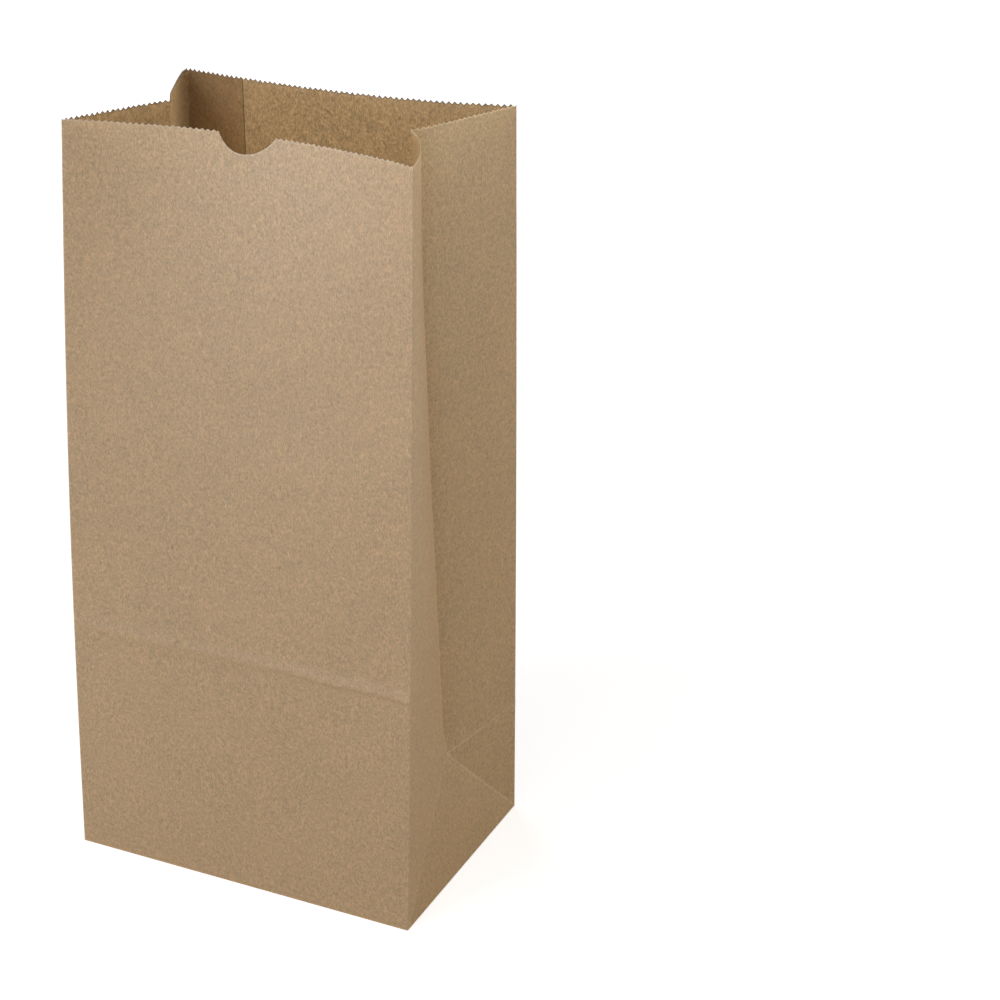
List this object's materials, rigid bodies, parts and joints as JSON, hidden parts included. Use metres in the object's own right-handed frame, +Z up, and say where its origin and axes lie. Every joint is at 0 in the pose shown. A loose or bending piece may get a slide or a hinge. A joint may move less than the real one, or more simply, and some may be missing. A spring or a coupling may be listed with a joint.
{
  "type": "brown paper lunch bag",
  "caption": "Open flat-bottomed kraft paper bag with gusseted sides, a saw-cut mouth and a thumb notch.",
  "frame": {"origin": "middle of the bottom rectangle, on its underside", "axes": "+Z up towards the mouth, -Y out of the front panel with the thumb notch, +X along the bag's width"},
  "size_m": [0.1596, 0.1048, 0.3159],
  "materials": {
    "kraft_paper": "matte uncoated brown kraft with fine fibres"
  },
  "bodies": {
    "root": {"paper_bag": "kraft_paper"}
  },
  "joints": []
}
